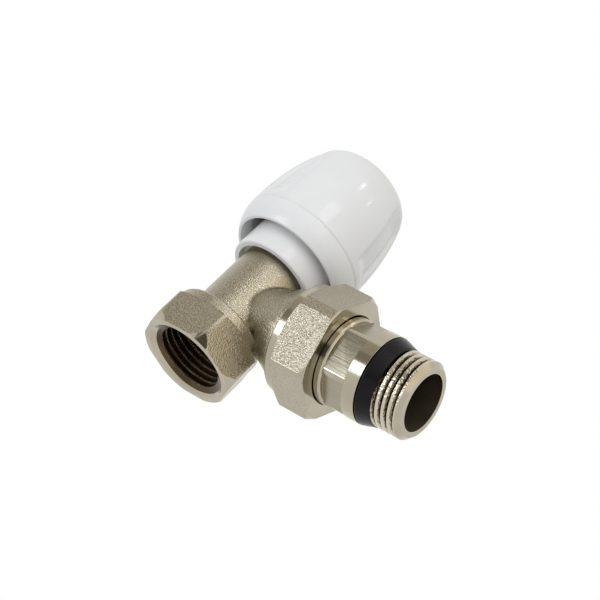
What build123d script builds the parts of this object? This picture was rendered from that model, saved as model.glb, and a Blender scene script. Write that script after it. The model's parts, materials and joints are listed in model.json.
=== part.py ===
from build123d import *
import os

# Angle radiator valve with a hand knob and a union tailpiece. Sizes are in millimetres.
# Z runs up the valve axis from the start of the inlet thread, X runs out along the tailpiece.
# Threads are modelled as plain cylinders at their outer diameter.

# Clearances
fixed_gap = 0.03        # radial room between pieces that are fixed in each other
running_gap = 0.06      # radial room round pieces that turn or slide in each other
thread_gap = 0.15       # radial room between the union nut and the branch
end_gap = 0.4           # room left at the end of a stroke or of a blind hole
swivel_play = 0.1       # axial room of a piece that turns on another

# Inlet socket: female half inch pipe thread in a hexagon
inlet_thread_d = 20.955
inlet_thread_depth = 11.0
mouth_flare = 1.3
mouth_depth = 1.1
socket_wall = 2.52
socket_floor_cover = 1.4
hex_face_step = 0.9
hex_front_chamfer = 2.6
hex_back_chamfer = 0.9
hex_edge_round = 1.5
flange_step = 0.1
flange_length = 2.9
flange_fillet = 2.4
foot_sink = 0.2         # the foot of the neck runs this far into it, so that they cross

# Valve chamber, seat and neck
chamber_d = 15.2
neck_wall = 2.0
seat_web = 2.6
seat_wall = 0.8
seat_margin = 0.3
seat_height = 0.8

# Plug with its rubber washer, swivelling on the tip of the spindle
lift = 2.0
plug_room = 0.4
plug_wall = 0.6
plug_disc = 3.2
plug_boss_wall = 2.2
plug_boss_height = 5.0
washer_thickness = 2.0
washer_proud = 0.6
washer_screw_d = 3.0
washer_screw_head_d = 5.4
washer_screw_head = 1.3
clip_thickness = 0.8
clip_wall = 1.0

# Spindle
spindle_thread_d = 10.0
spindle_thread_length = 10.2
spindle_step = 1.0
stem_ring_section = 1.4
square_margin = 0.1

# Bonnet and gland
bonnet_pilot = 3.4
bonnet_step = 0.5
bonnet_thread_length = 6.0
bonnet_hex_room = 0.5
bonnet_hex_height = 4.0
bonnet_boss_wall = 1.6
bonnet_ring_section = 1.5
stem_bore_length = 4.6
packing_wall = 1.7
packing_thickness = 2.4
gland_washer_thickness = 0.8
gland_thread_length = 2.0
gland_head_step = 0.8
gland_head = 2.0

# Collar that hides the bonnet
collar_room = 1.3
collar_wall = 1.55
collar_web = 1.6
collar_drop = 2.3
collar_overlap = 4.0
collar_edge_round = 0.6

# Knob: a skirt and a fluted cap that snap together at a seam
knob_room = 2.8
knob_nut_room = 0.7
rim_wall = 0.7
knob_flare = 2.25
skirt_belly = 0.55
skirt_height = 6.1
cap_height = 28.7
cap_belly = 0.5
cap_belly_height = 12.0
cap_shoulder = 3.3
cap_shoulder_height = 24.2
cap_crown = 9.5
knob_wall = 2.3
seam_chamfer = 0.15
snap_height = 2.4
snap_wall = 1.3
flute_count = 4
flute_angle = -12.5
flute_start = 1.2
flute_belly_depth = 0.7
flute_depth = 1.1
flute_radius = 26.0
hub_wall = 2.2
hub_roof = 1.6
socket_depth = 7.6
knob_rib = 1.6
well_room = 1.5
knob_screw_d = 4.0
knob_screw_length = 8.0
knob_screw_head_d = 7.0
knob_screw_head = 2.6
screw_washer_thickness = 0.8
cover_step = 3.0
cover_thickness = 1.6
cover_spigot = 3.0
cover_spigot_wall = 1.0

# Branch and union, joined by a three quarter inch pipe thread
branch_step = 0.7
branch_swell = 4.55
branch_wall = 3.8
branch_length = 27.3
branch_fillet = 1.2
branch_rise = 0.2
union_thread_length = 8.6
union_flare = 5.7
spigot_wall = 2.45
spigot_length = 6.5
spigot_ring_section = 1.4
nut_wall = 1.63
nut_length = 13.2
nut_turn = 90.0
nut_edge_round = 0.5
nut_trim = 0.85         # taken off two opposite corners, where the forging's flash was trimmed
nut_lip = 2.7
nut_face_step = 1.1
nut_front_chamfer = 1.4
nut_collar_step = 0.1
nut_collar_length = 2.2
nut_back_taper = 1.45
nut_back_round = 0.5

# Tailpiece with its male half inch thread and captive seal
outlet_thread_length = 8.1
outlet_chamfer = 0.8
tail_wall = 2.73
tail_ring_wall = 1.423
tail_flange = 2.9
lip_overlap = 0.77
lip_room = 0.35
tail_ring_length = 4.8
tail_ring_groove = 0.5
tail_hex_depth = 1.35
tail_hex_corner = 0.15
tail_hex_length = 6.6
tail_hex_turn = 84.0
tail_shoulder_length = 3.8
seal_length = 4.3
seal_seat_depth = 0.8
seal_tip = 0.1
seal_round = 0.5

# Diameters that follow from those sizes
hex_flats = inlet_thread_d + 2 * socket_wall
flange_d = hex_flats + 2 * flange_step
neck_d = chamber_d + 2 * neck_wall
plug_d = chamber_d - 2 * plug_room
washer_d = plug_d - 2 * plug_wall
seat_d = washer_d - 2 * seat_margin
seat_bore_d = seat_d - 2 * seat_wall
stem_d = spindle_thread_d - 2 * spindle_step
spindle_tip_d = stem_d - 2 * spindle_step
plug_boss_d = spindle_tip_d + 2 * plug_boss_wall
drive_square = stem_d / 2 ** 0.5 - 2 * square_margin
packing_d = stem_d + 2 * packing_wall
bonnet_thread_d = chamber_d + 2 * bonnet_step
collar_bore_d = neck_d + 2 * collar_room
collar_d = collar_bore_d + 2 * collar_wall
knob_rim_bore_d = collar_d + 2 * knob_room
knob_rim_d = knob_rim_bore_d + 2 * rim_wall
knob_d = knob_rim_d + 2 * knob_flare
well_d = knob_screw_head_d + 2 * well_room
hub_d = well_d + 2 * hub_wall
cover_d = well_d + 2 * cover_step
branch_d = neck_d + 2 * branch_step
branch_root_d = branch_d - 2 * branch_swell
branch_bore_d = branch_d - 2 * branch_wall
outlet_thread_d = inlet_thread_d
tail_bore_d = outlet_thread_d - 2 * tail_wall
tail_ring_d = outlet_thread_d + 2 * tail_ring_wall
nut_lip_bore_d = tail_ring_d + 2 * lip_room
tail_flange_d = nut_lip_bore_d + 2 * lip_overlap
nut_bore_d = tail_flange_d + 2 * lip_room
union_thread_d = nut_bore_d - 2 * thread_gap
nut_flats = nut_bore_d + 2 * nut_wall
nut_collar_d = nut_flats - 2 * nut_collar_step
spigot_hole_d = tail_bore_d + 2 * spigot_wall
spigot_d = spigot_hole_d - 2 * running_gap

# Heights on the valve axis, with the knob as it stands when the valve is open
flange_top = inlet_thread_depth + socket_floor_cover
hex_top = flange_top - flange_length
chamber_floor = inlet_thread_depth + seat_web
seat_top = chamber_floor + seat_height
outlet_height = seat_top + branch_bore_d / 2 + branch_rise
washer_bottom = seat_top + lift
plug_bottom = washer_bottom + washer_proud
disc_top = plug_bottom + plug_disc
boss_top = disc_top + plug_boss_height
tip_socket_bottom = disc_top + end_gap
clip_middle = (tip_socket_bottom + boss_top) / 2
bonnet_bottom = boss_top + end_gap
pilot_top = bonnet_bottom + bonnet_pilot
bonnet_ring_height = (bonnet_bottom + pilot_top) / 2
neck_top = pilot_top + bonnet_thread_length
bonnet_hex_bottom = neck_top + collar_web
bonnet_hex_top = bonnet_hex_bottom + bonnet_hex_height
spindle_thread_top = bonnet_bottom + spindle_thread_length
stem_bore_bottom = spindle_thread_top + end_gap
gland_floor = stem_bore_bottom + stem_bore_length
stem_ring_height = gland_floor - stem_ring_section
packing_top = gland_floor + packing_thickness
gland_washer_top = packing_top + gland_washer_thickness
bonnet_top = gland_washer_top + gland_thread_length
gland_top = bonnet_top + gland_head
hub_bottom = gland_top + lift + end_gap
hub_roof_bottom = hub_bottom + socket_depth
hub_top = hub_roof_bottom + hub_roof
screw_head_bottom = hub_top + screw_washer_thickness
knob_rim = outlet_height + nut_collar_d / 2 + lift + knob_nut_room
knob_seam = knob_rim + skirt_height
knob_top = knob_seam + cap_height
cover_bottom = knob_top - cover_thickness

# Places along the outlet axis, from the valve axis
union_thread_start = branch_length - union_thread_length
branch_waist = union_thread_start - union_flare
spigot_start = branch_length - spigot_length
spigot_ring_place = (spigot_start + branch_length) / 2
flange_front = branch_length + tail_flange
nut_front = flange_front + swivel_play + nut_lip
nut_back = nut_front - nut_length
tail_hex_start = flange_front + tail_ring_length
shoulder_start = tail_hex_start + tail_hex_length
seal_start = shoulder_start + tail_shoulder_length
outlet_thread_start = seal_start + seal_length
outlet_end = outlet_thread_start + outlet_thread_length


# Turn a half-section, given as (radius, height) points, round the Z axis
def turned(points, rounds=()):
    section = make_face(Polyline(*points, close=True))
    for corner, radius in rounds:
        section = fillet(section.vertices().sort_by_distance((*corner, 0))[0], radius)
    return revolve(Plane.XZ * section, Axis.Z)


# A plain tube or, with no bore, a plain rod, standing between two heights
def tube(outer_d, bottom, top, bore_d=0.0):
    return turned([(bore_d / 2, bottom), (outer_d / 2, bottom), (outer_d / 2, top), (bore_d / 2, top)])


# A round-section sealing ring that just fits inside the given diameter
def ring(outer_d, section, height):
    return Pos(0, 0, height) * Torus((outer_d - section) / 2, section / 2)


# The groove that such a ring sits in
def ring_groove(outer_d, section, height):
    half = section / 2 + fixed_gap
    return tube(outer_d + 2 * half, height - half, height + half, outer_d - 2 * section - 2 * fixed_gap)


# A hexagon prism standing between two heights, with corners on the X axis unless turned
def hexagon(flats, bottom, top, turn=0.0):
    outline = RegularPolygon(flats / 2, 6, major_radius=False, rotation=turn)
    return Pos(0, 0, bottom) * extrude(outline, top - bottom)


# Lay a piece that was made along Z down on the outlet axis
def on_outlet(piece):
    return Pos(0, 0, outlet_height) * Rot(0, 90, 0) * piece


# Forged body: hexagon socket, flange, neck and branch, bored out from three sides
def valve_body():
    mouth = -mouth_depth
    corner_r = hex_flats / 3 ** 0.5
    bar = hexagon(hex_flats, mouth, hex_top)
    bar = fillet(bar.edges().filter_by(Axis.Z), hex_edge_round)
    socket = bar & turned([
        (0, mouth), (hex_flats / 2 + hex_face_step, mouth), (corner_r, mouth + hex_front_chamfer),
        (corner_r, hex_top - hex_back_chamfer), (flange_d / 2, hex_top), (0, hex_top),
    ])
    foot_r = neck_d / 2 - foot_sink
    foot_fillet = min(flange_fillet, flange_d / 2 - foot_r - hex_back_chamfer - foot_sink)
    fillet_top = flange_top + 2 * foot_fillet
    flange = turned(
        [(0, hex_top), (flange_d / 2, hex_top), (flange_d / 2, flange_top), (foot_r, flange_top),
         (foot_r, fillet_top), (0, fillet_top)],
        [((foot_r, flange_top), foot_fillet), ((flange_d / 2, flange_top), hex_back_chamfer)],
    )
    branch = on_outlet(turned([
        (0, 0), (branch_root_d / 2, 0), (branch_d / 2, branch_waist),
        (union_thread_d / 2, union_thread_start), (union_thread_d / 2, branch_length), (0, branch_length),
    ]))
    trunk = tube(neck_d, hex_top, neck_top) + branch
    trunk = fillet(trunk.edges().filter_by(GeomType.BSPLINE), branch_fillet)
    body = socket + flange + trunk
    body -= turned([
        (0, mouth), (inlet_thread_d / 2 + mouth_flare, mouth), (inlet_thread_d / 2, 0),
        (inlet_thread_d / 2, inlet_thread_depth), (0, inlet_thread_depth),
    ])
    body -= tube(chamber_d, chamber_floor, neck_top) - tube(seat_d, chamber_floor, seat_top)
    body -= tube(seat_bore_d, inlet_thread_depth, seat_top)
    body -= tube(bonnet_thread_d, pilot_top, neck_top)
    body -= on_outlet(tube(branch_bore_d, 0, branch_length))
    return body - on_outlet(tube(spigot_hole_d, spigot_start - end_gap, branch_length))


# Brass headwork screwed into the neck: it guides the spindle and holds the gland
def bonnet():
    outside = tube(chamber_d - 2 * fixed_gap, bonnet_bottom, pilot_top)
    outside += tube(bonnet_thread_d - 2 * fixed_gap, pilot_top, bonnet_hex_bottom)
    hex_corner_d = collar_bore_d - 2 * bonnet_hex_room
    outside += hexagon(hex_corner_d * 3 ** 0.5 / 2, bonnet_hex_bottom, bonnet_hex_top)
    outside += tube(packing_d + 2 * bonnet_boss_wall, bonnet_hex_top, bonnet_top)
    outside -= ring_groove(chamber_d - 2 * fixed_gap, bonnet_ring_section, bonnet_ring_height)
    outside -= tube(spindle_thread_d + 2 * running_gap, bonnet_bottom, stem_bore_bottom)
    outside -= tube(stem_d + 2 * running_gap, stem_bore_bottom, gland_floor)
    return outside - tube(packing_d + 2 * fixed_gap, gland_floor, bonnet_top)


# Ring that seals the bonnet in the neck
def bonnet_o_ring():
    return ring(chamber_d - 2 * fixed_gap, bonnet_ring_section, bonnet_ring_height)


# Soft packing round the stem
def gland_packing():
    return tube(packing_d, gland_floor, packing_top, stem_d + 2 * running_gap)


# Washer between the packing and the gland nut
def gland_washer():
    return tube(packing_d, packing_top, gland_washer_top, stem_d + 4 * running_gap)


# Hollow nut that presses the packing down
def gland_nut():
    head = hexagon(packing_d + 2 * gland_head_step, bonnet_top, gland_top)
    nut = tube(packing_d, gland_washer_top, bonnet_top) + head
    return nut - tube(stem_d + 4 * running_gap, gland_washer_top, gland_top)


# White sleeve held between the neck and the bonnet by its inner web
def collar():
    bottom = neck_top - collar_drop
    top = knob_rim + collar_overlap
    sleeve = turned(
        [(collar_bore_d / 2, bottom), (collar_d / 2, bottom), (collar_d / 2, top), (collar_bore_d / 2, top)],
        [((collar_d / 2, bottom), collar_edge_round), ((collar_d / 2, top), collar_edge_round)],
    )
    return sleeve + tube(collar_d, neck_top, bonnet_hex_bottom, bonnet_thread_d)


# Turned cup that carries the washer, with a socket for the tip of the spindle
def plug():
    cup_roof = washer_bottom + washer_thickness
    cup_r = washer_d / 2 + fixed_gap
    cup = turned([
        (0, cup_roof), (cup_r, cup_roof), (cup_r, plug_bottom), (plug_d / 2, plug_bottom),
        (plug_d / 2, disc_top), (plug_boss_d / 2, disc_top), (plug_boss_d / 2, boss_top), (0, boss_top),
    ])
    cup -= tube(spindle_tip_d + 2 * running_gap, tip_socket_bottom, boss_top)
    cup -= tube(washer_screw_d + 2 * fixed_gap, cup_roof, disc_top)
    half_slot = clip_thickness / 2 + fixed_gap
    return cup - tube(spindle_tip_d + clip_wall, clip_middle - half_slot, clip_middle + half_slot)


# Flat rubber washer that closes on the seat
def seat_washer():
    top = washer_bottom + washer_thickness
    return tube(washer_d, washer_bottom, top, washer_screw_d + 2 * fixed_gap)


# Screw that holds the washer in the plug
def washer_screw():
    bottom = washer_bottom - washer_screw_head
    head_r = washer_screw_head_d / 2
    head = turned(
        [(0, bottom), (head_r, bottom), (head_r, washer_bottom), (0, washer_bottom)],
        [((head_r, bottom), washer_screw_head / 2)],
    )
    return head + tube(washer_screw_d, washer_bottom, disc_top - end_gap)


# Wire clip that keeps the tip of the spindle in the plug
def plug_clip():
    outer_d = spindle_tip_d + clip_wall - 2 * fixed_gap
    half = clip_thickness / 2
    return tube(outer_d, clip_middle - half, clip_middle + half, outer_d - 2 * clip_wall)


# Turned spindle: grooved tip, thread, stem with a ring groove, and a square for the knob
def spindle():
    tip_bottom = tip_socket_bottom + end_gap
    shaft = turned([
        (0, tip_bottom), (spindle_tip_d / 2, tip_bottom), (spindle_tip_d / 2, bonnet_bottom),
        (spindle_thread_d / 2, bonnet_bottom), (spindle_thread_d / 2, spindle_thread_top),
        (stem_d / 2, spindle_thread_top), (stem_d / 2, hub_bottom), (0, hub_bottom),
    ])
    half_slot = clip_thickness / 2 + swivel_play
    waist_d = spindle_tip_d - clip_wall - 2 * (fixed_gap + running_gap)
    shaft -= tube(spindle_tip_d, clip_middle - half_slot, clip_middle + half_slot, waist_d)
    shaft -= ring_groove(stem_d, stem_ring_section, stem_ring_height)
    square = extrude(Rectangle(drive_square, drive_square), socket_depth - end_gap)
    shaft += Pos(0, 0, hub_bottom) * square
    hole_bottom = screw_head_bottom - knob_screw_length - end_gap
    return shaft - tube(knob_screw_d + 2 * fixed_gap, hole_bottom, hub_roof_bottom)


# Ring that seals the stem in the bonnet
def spindle_o_ring():
    return ring(stem_d, stem_ring_section, stem_ring_height)


# Lower ring of the knob, with a snap lip that stands up inside the cap
def knob_skirt():
    lip_r = knob_d / 2 - knob_wall - fixed_gap
    lip_bore_r = lip_r - snap_wall
    rim = (knob_rim_d / 2, knob_rim)
    seam = (knob_d / 2, knob_seam - seam_chamfer)
    outside = ThreePointArc(rim, (knob_d / 2 - skirt_belly, knob_rim + skirt_height / 2), seam)
    inside = Polyline(
        seam, (knob_d / 2 - seam_chamfer, knob_seam), (lip_r, knob_seam), (lip_r, knob_seam + snap_height),
        (lip_bore_r, knob_seam + snap_height), (lip_bore_r, knob_seam - snap_height),
        (knob_rim_bore_d / 2, knob_rim), rim,
    )
    return revolve(Plane.XZ * make_face(outside + inside), Axis.Z)


# The cap as a solid of revolution, with its outline drawn in by the given wall
def cap_form(inset):
    seam_r = knob_d / 2 - inset
    seam = (seam_r, knob_seam)
    top = knob_top - inset
    belly = (seam_r - cap_belly, knob_seam + cap_belly_height)
    flank = ThreePointArc(seam, belly, (seam_r - cap_shoulder, knob_seam + cap_shoulder_height))
    crown = TangentArc(flank @ 1, (seam_r - cap_crown, top), tangent=flank % 1)
    core = Polyline(crown @ 1, (0, top), (0, knob_seam), seam)
    return revolve(Plane.XZ * make_face(flank + crown + core), Axis.Z)


# One shallow flute: it starts as a point above the seam and deepens towards the top
def flute():
    seam_r = knob_d / 2
    floor = ThreePointArc(
        (seam_r, knob_seam + flute_start),
        (seam_r - cap_belly - flute_belly_depth, knob_seam + cap_belly_height),
        (seam_r - cap_shoulder - flute_depth, knob_seam + cap_shoulder_height),
    )
    centre = floor.arc_center
    return Pos(centre.X, 0, centre.Y) * Rot(90, 0, 0) * Torus(floor.radius + flute_radius, flute_radius)


# Fluted cap with a hub that sits on the spindle's square, held by ribs
def knob_cap():
    cap = cap_form(0)
    cap = chamfer(cap.edges().group_by(Axis.Z)[0], seam_chamfer)
    for index in range(flute_count):
        cap -= Rot(0, 0, flute_angle + index * 360 / flute_count) * flute()
    hub = tube(hub_d, hub_bottom, knob_top)
    rib = Pos(0, 0, hub_top) * extrude(Rectangle(knob_d, knob_rib), knob_top - hub_top)
    cap -= cap_form(knob_wall) - hub - rib - Rot(0, 0, 90) * rib
    socket_side = drive_square + 2 * fixed_gap
    cap -= Pos(0, 0, hub_bottom) * extrude(Rectangle(socket_side, socket_side), socket_depth)
    cap -= tube(knob_screw_d + 2 * fixed_gap, hub_roof_bottom, hub_top)
    cap -= tube(well_d, hub_top, knob_top)
    return cap - tube(cover_d + 2 * fixed_gap, cover_bottom, knob_top)


# Screw that holds the knob on the spindle
def knob_screw():
    head_top = screw_head_bottom + knob_screw_head
    head_r = knob_screw_head_d / 2
    head = turned(
        [(0, screw_head_bottom), (head_r, screw_head_bottom), (head_r, head_top), (0, head_top)],
        [((head_r, head_top), knob_screw_head / 2)],
    )
    return head + tube(knob_screw_d, screw_head_bottom - knob_screw_length, screw_head_bottom)


# Washer under the head of that screw
def knob_screw_washer():
    return tube(knob_screw_head_d, hub_top, screw_head_bottom, knob_screw_d + 2 * fixed_gap)


# Cover that snaps into the top of the knob
def knob_cover():
    spigot_outer_d = well_d - 2 * fixed_gap
    spigot_bore_d = spigot_outer_d - 2 * cover_spigot_wall
    spigot = tube(spigot_outer_d, cover_bottom - cover_spigot, cover_bottom, spigot_bore_d)
    return tube(cover_d, cover_bottom, knob_top) + spigot


# Hexagon nut of the union: a turned outline cut from a hexagon bar
def union_nut():
    corner_r = nut_flats / 3 ** 0.5
    taper_start = nut_back + nut_collar_length
    bar = hexagon(nut_flats, nut_back, nut_front, nut_turn)
    bar = fillet(bar.edges().filter_by(Axis.Z), nut_edge_round)
    trimmed = Rectangle(2 * (corner_r - nut_trim), 2 * corner_r, rotation=nut_turn)
    bar &= Pos(0, 0, nut_back) * extrude(trimmed, nut_length)
    nut = bar & turned(
        [(0, nut_back), (nut_collar_d / 2, nut_back), (nut_collar_d / 2, taper_start),
         (corner_r, taper_start + nut_back_taper), (corner_r, nut_front - nut_front_chamfer),
         (nut_flats / 2 + nut_face_step, nut_front), (0, nut_front)],
        [((nut_collar_d / 2, nut_back), nut_back_round)],
    )
    nut -= tube(nut_bore_d, nut_back, nut_front - nut_lip)
    return on_outlet(nut - tube(nut_lip_bore_d, nut_back, nut_front))


# Turned tailpiece: spigot, flange, hexagon flats, shoulder and male thread
def tailpiece():
    groove_r = tail_ring_d / 2 - tail_ring_groove
    seat_r = outlet_thread_d / 2 - seal_seat_depth
    thread_r = outlet_thread_d / 2
    outside = turned([
        (0, spigot_start), (spigot_d / 2, spigot_start), (spigot_d / 2, branch_length),
        (tail_flange_d / 2, branch_length), (tail_flange_d / 2, flange_front), (tail_ring_d / 2, flange_front),
        (tail_ring_d / 2, tail_hex_start - tail_ring_groove), (groove_r, tail_hex_start), (0, tail_hex_start),
    ])
    hex_part = hexagon(tail_ring_d - 2 * tail_hex_depth, tail_hex_start, shoulder_start, tail_hex_turn)
    outside += hex_part & tube(tail_ring_d - 2 * tail_hex_corner, tail_hex_start, shoulder_start)
    outside += turned([
        (0, shoulder_start), (tail_ring_d / 2, shoulder_start), (tail_ring_d / 2, seal_start),
        (seat_r, seal_start), (seat_r, outlet_thread_start), (thread_r, outlet_thread_start),
        (thread_r, outlet_end - outlet_chamfer), (thread_r - outlet_chamfer, outlet_end), (0, outlet_end),
    ])
    outside -= ring_groove(spigot_d, spigot_ring_section, spigot_ring_place)
    return on_outlet(outside - tube(tail_bore_d, spigot_start, outlet_end))


# Ring that seals the spigot in the branch
def union_o_ring():
    return on_outlet(ring(spigot_d, spigot_ring_section, spigot_ring_place))


# Tapered rubber seal behind the male thread
def tailpiece_seal():
    seat_r = outlet_thread_d / 2 - seal_seat_depth + fixed_gap
    outer = (tail_ring_d / 2, seal_start)
    tip = (outlet_thread_d / 2 + seal_tip, outlet_thread_start)
    return on_outlet(turned(
        [(seat_r, seal_start), outer, tip, (seat_r, outlet_thread_start)],
        [(outer, seal_round), (tip, seal_round)],
    ))


pieces = [
    valve_body, bonnet, bonnet_o_ring, gland_packing, gland_washer, gland_nut, collar, plug, seat_washer,
    washer_screw, plug_clip, spindle, spindle_o_ring, knob_skirt, knob_cap, knob_screw, knob_screw_washer,
    knob_cover, union_nut, tailpiece, union_o_ring, tailpiece_seal,
]
os.makedirs("parts", exist_ok=True)
for piece in pieces:
    export_step(piece(), f"parts/{piece.__name__}.step")
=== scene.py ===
# %% [markdown]
# # An angle radiator valve
# The valve has a forged body with a hexagon socket below, a white hand knob on top, and a union nut
# that holds a threaded tailpiece at the side. The CAD model gives every piece its place and size, so
# the scene starts by loading that model and never moves it. Everything is in metres, in the CAD
# model's own frame: Z is the valve's axis, from the inlet up to the knob, and X is the axis of the
# tailpiece.

# %% Load the frame
import json
import math

import bmesh
import bpy
from mathutils import Matrix, Vector


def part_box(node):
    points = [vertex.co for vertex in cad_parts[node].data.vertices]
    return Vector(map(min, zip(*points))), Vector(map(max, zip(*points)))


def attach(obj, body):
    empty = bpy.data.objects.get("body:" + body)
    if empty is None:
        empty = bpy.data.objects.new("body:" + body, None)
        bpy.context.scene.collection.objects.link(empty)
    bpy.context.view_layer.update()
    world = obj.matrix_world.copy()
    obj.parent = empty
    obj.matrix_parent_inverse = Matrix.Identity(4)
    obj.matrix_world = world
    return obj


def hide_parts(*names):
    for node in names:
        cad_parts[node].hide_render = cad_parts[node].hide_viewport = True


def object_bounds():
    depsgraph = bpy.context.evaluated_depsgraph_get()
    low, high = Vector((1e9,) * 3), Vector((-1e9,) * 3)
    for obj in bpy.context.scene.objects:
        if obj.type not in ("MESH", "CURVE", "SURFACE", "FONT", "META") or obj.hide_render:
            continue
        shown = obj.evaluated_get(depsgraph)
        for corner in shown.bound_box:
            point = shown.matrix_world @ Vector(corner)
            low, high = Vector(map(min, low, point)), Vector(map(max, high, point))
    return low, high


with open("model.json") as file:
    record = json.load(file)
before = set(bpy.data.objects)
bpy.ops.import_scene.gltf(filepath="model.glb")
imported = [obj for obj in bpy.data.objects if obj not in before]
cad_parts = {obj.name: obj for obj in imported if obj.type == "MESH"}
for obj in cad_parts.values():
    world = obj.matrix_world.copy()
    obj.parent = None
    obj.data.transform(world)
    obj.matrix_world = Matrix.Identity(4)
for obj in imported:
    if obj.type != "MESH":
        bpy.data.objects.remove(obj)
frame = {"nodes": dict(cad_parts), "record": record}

nodes = frame["nodes"]
cad_low, cad_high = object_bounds()
mm = 0.001
outlet_mount = frame["record"]["mounts"][1]
outlet_height = Vector(outlet_mount["pos_m"]).z
pipe_thread_r = outlet_mount["dims"]["r_mm"] * mm
print("loaded", len(nodes), "nodes; the box runs from", tuple(cad_low), "to", tuple(cad_high))

# %% [markdown]
# ## Small helpers for node trees
# A material in Blender is a tree of nodes. A few helpers keep the trees short to write: one adds a
# node, one adds a socket to a group, and the others set up the nodes that come back again and again.

# %% Helpers that place nodes
def add_node(tree, kind, **settings):
    made = tree.nodes.new(kind)
    for name, value in settings.items():
        setattr(made, name, value)
    return made


def socket(group, name, direction, kind, default=None):
    made = group.interface.new_socket(name, in_out=direction, socket_type=kind)
    if default is not None:
        made.default_value = default
    return made


def noise_node(tree, vector, scale, detail, dimensions="3D"):
    noise = add_node(tree, "ShaderNodeTexNoise", noise_dimensions=dimensions)
    noise.inputs["Scale"].default_value = scale
    noise.inputs["Detail"].default_value = detail
    tree.links.new(vector, noise.inputs["Vector"])
    return noise


def ramp_node(tree, value, start, end):
    ramp = add_node(tree, "ShaderNodeMapRange", interpolation_type="SMOOTHSTEP")
    ramp.inputs["From Min"].default_value = start
    ramp.inputs["From Max"].default_value = end
    tree.links.new(value, ramp.inputs["Value"])
    return ramp.outputs["Result"]


def distance_from_axis(tree, vector):
    across = add_node(tree, "ShaderNodeVectorMath", operation="MULTIPLY")
    across.inputs[1].default_value = (1.0, 1.0, 0.0)
    tree.links.new(vector, across.inputs[0])
    radius = add_node(tree, "ShaderNodeVectorMath", operation="LENGTH")
    tree.links.new(across.outputs["Vector"], radius.inputs[0])
    return radius.outputs["Value"]


print("the node helpers are ready")

# %% [markdown]
# ## Blasted grain
# The forged faces were blasted before they were plated, which leaves a fine grain that glints. More
# than one material could use it, so it is a node group. It gives out only a height and a mask, and
# each material decides what to do with them. The mask is for painted glints: it is highest in the
# middle of every cell. Noise alone looks cloudy and cells alone look tiled, so the height is both
# together: noise, with a small round grain in the middle of every cell.

# %% Node group: blasted grain
def blasted_grain():
    group = bpy.data.node_groups.new("blasted_grain", "ShaderNodeTree")
    socket(group, "Vector", "INPUT", "NodeSocketVector")
    socket(group, "Height", "OUTPUT", "NodeSocketFloat")
    socket(group, "Painted Glint", "OUTPUT", "NodeSocketFloat")
    source = add_node(group, "NodeGroupInput").outputs["Vector"]
    result = add_node(group, "NodeGroupOutput")
    fine = noise_node(group, source, 2100.0, 3.0)
    cells = add_node(group, "ShaderNodeTexVoronoi", feature="F1")
    cells.inputs["Scale"].default_value = 3000.0
    group.links.new(source, cells.inputs["Vector"])
    both = add_node(group, "ShaderNodeMath", operation="SUBTRACT")
    group.links.new(fine.outputs["Fac"], both.inputs[0])
    group.links.new(cells.outputs["Distance"], both.inputs[1])
    glint = ramp_node(group, cells.outputs["Distance"], 0.65, 0.15)
    group.links.new(both.outputs["Value"], result.inputs["Height"])
    group.links.new(glint, result.inputs["Painted Glint"])
    return group


grain_group = blasted_grain()
print("made the node group", grain_group.name)

# %% [markdown]
# ## Turning rings
# The cut faces came off a lathe, which leaves fine rings round the axis. Rings could be drawn with a
# wave texture, but a wave is too even. Here noise is read at the distance along the axis and the
# distance from it, so every ring differs, and one group serves cylinders and end faces alike.

# %% Node group: turning rings
def turning_rings():
    group = bpy.data.node_groups.new("turning_rings", "ShaderNodeTree")
    socket(group, "Vector", "INPUT", "NodeSocketVector")
    socket(group, "Height", "OUTPUT", "NodeSocketFloat")
    source = add_node(group, "NodeGroupInput").outputs["Vector"]
    result = add_node(group, "NodeGroupOutput")
    split = add_node(group, "ShaderNodeSeparateXYZ")
    group.links.new(source, split.inputs["Vector"])
    place = add_node(group, "ShaderNodeCombineXYZ")
    group.links.new(split.outputs["Z"], place.inputs["X"])
    group.links.new(distance_from_axis(group, source), place.inputs["Y"])
    rings = noise_node(group, place.outputs["Vector"], 5200.0, 2.0, "2D")
    group.links.new(rings.outputs["Fac"], result.inputs["Height"])
    return group


rings_group = turning_rings()
print("made the node group", rings_group.name)

# %% [markdown]
# ## Handling marks
# No surface is equally clean all over: hands, packing and plating leave soft clouds where it is a
# little duller. A cloud of noise with a soft threshold gives that mask to every finish, and its
# scale is an input, because small worn edges need smaller clouds.

# %% Node group: handling marks
def handling_marks():
    group = bpy.data.node_groups.new("handling_marks", "ShaderNodeTree")
    socket(group, "Vector", "INPUT", "NodeSocketVector")
    socket(group, "Scale", "INPUT", "NodeSocketFloat", 90.0)
    socket(group, "Mask", "OUTPUT", "NodeSocketFloat")
    source = add_node(group, "NodeGroupInput")
    result = add_node(group, "NodeGroupOutput")
    cloud = noise_node(group, source.outputs["Vector"], 90.0, 4.0)
    group.links.new(source.outputs["Scale"], cloud.inputs["Scale"])
    mask = ramp_node(group, cloud.outputs["Fac"], 0.35, 0.7)
    group.links.new(mask, result.inputs["Mask"])
    return group


marks_group = handling_marks()
print("made the node group", marks_group.name)

# %% [markdown]
# ## How a finish is put together
# Each finish is one Principled shader. A number that is the same all over is set on the shader
# itself, and only what varies over the surface comes in through a link. Patterns read the Object
# coordinates, which lie still on the piece when it moves.

# %% Helpers that put a finish together
def start_finish(name, colour, metallic, roughness):
    material = bpy.data.materials.new(name)
    material.use_nodes = True
    shader = material.node_tree.nodes["Principled BSDF"]
    shader.inputs["Base Color"].default_value = (*colour, 1.0)
    shader.inputs["Metallic"].default_value = metallic
    shader.inputs["Roughness"].default_value = roughness
    return material, material.node_tree, shader


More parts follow.
